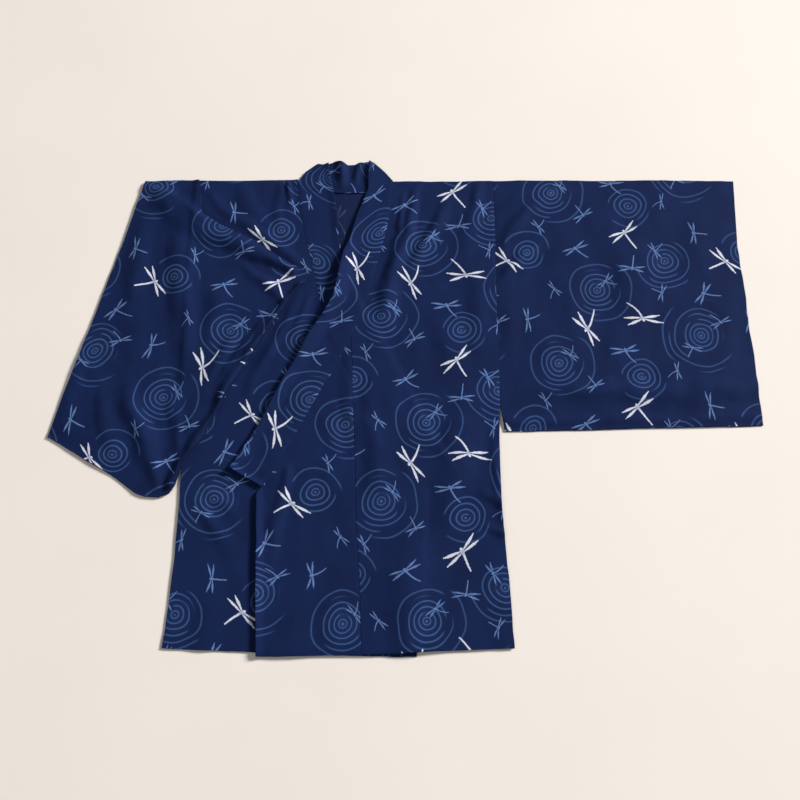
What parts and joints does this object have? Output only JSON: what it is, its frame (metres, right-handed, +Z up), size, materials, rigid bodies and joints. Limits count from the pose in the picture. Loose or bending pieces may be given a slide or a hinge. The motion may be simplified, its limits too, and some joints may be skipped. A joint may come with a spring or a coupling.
{
  "type": "kimono-style under-jacket (kendo uniform juban), laid flat",
  "caption": "Hip-length kimono-cut under-jacket with wide sleeves and a crossed band collar, laid flat front up, one sleeve out and one swung down.",
  "frame": {"origin": "bottom centre of the laid garment's bounding box, on the surface that it lies on", "axes": "+X along the wearer's left sleeve, +Y from hem to collar, +Z up from the surface"},
  "size_m": [1.237, 0.916, 0.0116],
  "materials": {
    "printed_cloth": "matte navy cloth printed with pale blue ripples and dragonflies",
    "collar_band": "the same printed cloth, doubled and pressed"
  },
  "bodies": {
    "root": {"body_left": "printed_cloth", "body_right": "printed_cloth", "gore_left": "printed_cloth", "gore_right": "printed_cloth", "sleeve_left": "printed_cloth", "sleeve_right": "printed_cloth", "collar_left": "collar_band", "collar_right": "collar_band", "collar_back": "collar_band"}
  },
  "joints": []
}
